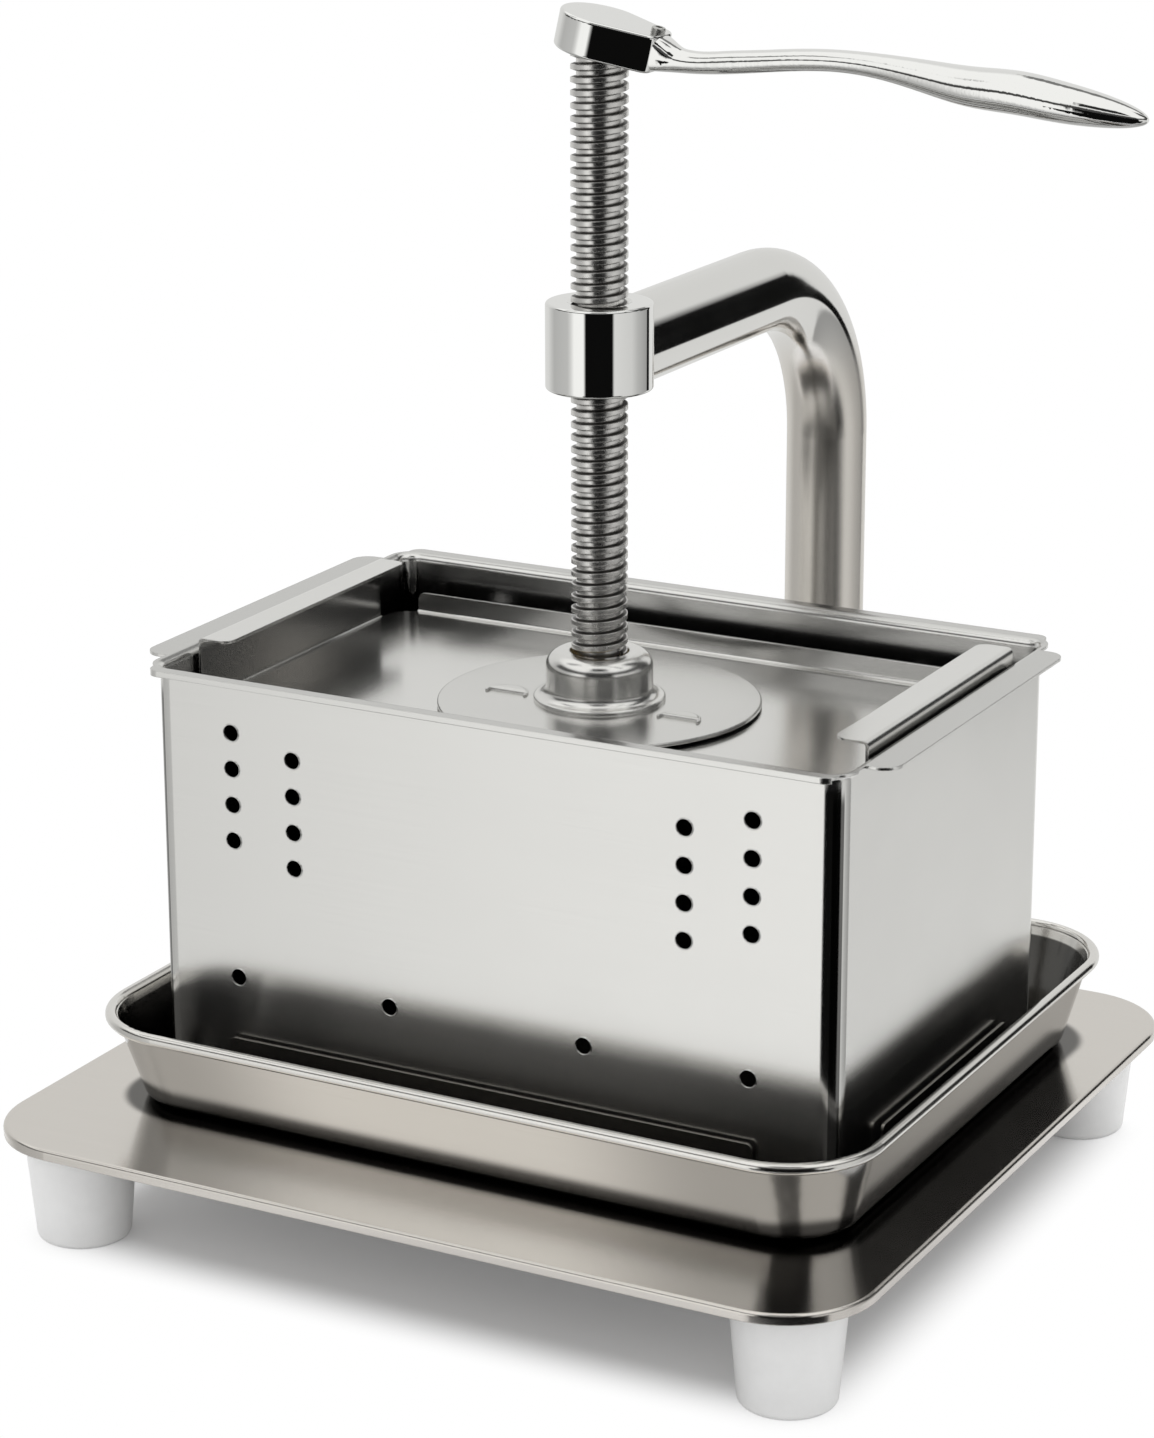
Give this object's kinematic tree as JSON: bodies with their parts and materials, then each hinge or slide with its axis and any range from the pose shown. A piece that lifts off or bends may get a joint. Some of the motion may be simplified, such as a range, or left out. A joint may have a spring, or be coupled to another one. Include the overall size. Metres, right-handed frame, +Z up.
{
  "type": "tofu press",
  "caption": "Screw press for tofu: a perforated mould box stands in a drip tray on a base with feet, and a lever screw on a bent post pushes a press plate down into it.",
  "frame": {"origin": "on the worktop under the axis of the screw", "axes": "+Z up along the screw, +Y towards the post, +X along the box towards the lever's tip"},
  "size_m": [0.3283, 0.34, 0.3859],
  "materials": {
    "foot_plastic": "smooth moulded",
    "fastener_steel": "bright",
    "polished_steel": "mirror polished",
    "tube_steel": "satin polished",
    "screw_steel": "turned",
    "bearing_brass": "turned",
    "pad_rubber": "matte",
    "bar_steel": "satin",
    "satin_sheet": "satin",
    "brushed_sheet": "brushed"
  },
  "bodies": {
    "frame": {"base_plate": "satin_sheet", "foot_front_left": "foot_plastic", "foot_front_right": "foot_plastic", "foot_back_left": "foot_plastic", "foot_back_right": "foot_plastic", "foot_studs": "fastener_steel", "foot_washers": "fastener_steel", "foot_nuts": "fastener_steel", "base_bar": "bar_steel", "bar_bolts": "fastener_steel", "bar_screws": "fastener_steel", "bar_washers": "fastener_steel", "bar_nuts": "fastener_steel", "post_tube": "tube_steel", "post_flange": "bar_steel", "post_plug": "bar_steel", "post_washer": "fastener_steel", "post_bolt": "fastener_steel", "collar_nut": "polished_steel", "drip_tray": "satin_sheet", "drain_plate": "brushed_sheet"},
    "press_head": {"pressure_disc": "brushed_sheet", "thrust_cup": "polished_steel", "thrust_bushing": "bearing_brass", "thrust_pad": "pad_rubber"},
    "screw": {"screw_rod": "screw_steel", "retaining_clip": "fastener_steel", "lever_handle": "polished_steel", "lever_set_screw": "fastener_steel"},
    "press_plate": {"press_plate": "brushed_sheet"},
    "mould_box": {"mould_box": "brushed_sheet"}
  },
  "joints": [
    {"name": "head_travel", "type": "slide", "parent": "frame", "child": "press_head", "axis": [0, 0, 1], "range_m": [-0.06, 0.08]},
    {"name": "screw_turn", "type": "hinge", "parent": "press_head", "child": "screw", "pos_m": [0, 0, 0.2808], "axis": [0, 0, 1], "range_deg": [-5400, 7200]},
    {"name": "plate_travel", "type": "slide", "parent": "frame", "child": "press_plate", "axis": [0, 0, 1], "range_m": [-0.06, 0.08]},
    {"name": "mould_lift", "type": "slide", "parent": "frame", "child": "mould_box", "axis": [0, 0, 1], "range_m": [0, 0.06]}
  ],
  "couplings": [
    {"joint": "head_travel", "follows": "screw_turn", "m_per_rad": 0.00063662},
    {"joint": "plate_travel", "follows": "screw_turn", "m_per_rad": 0.00063662}
  ]
}
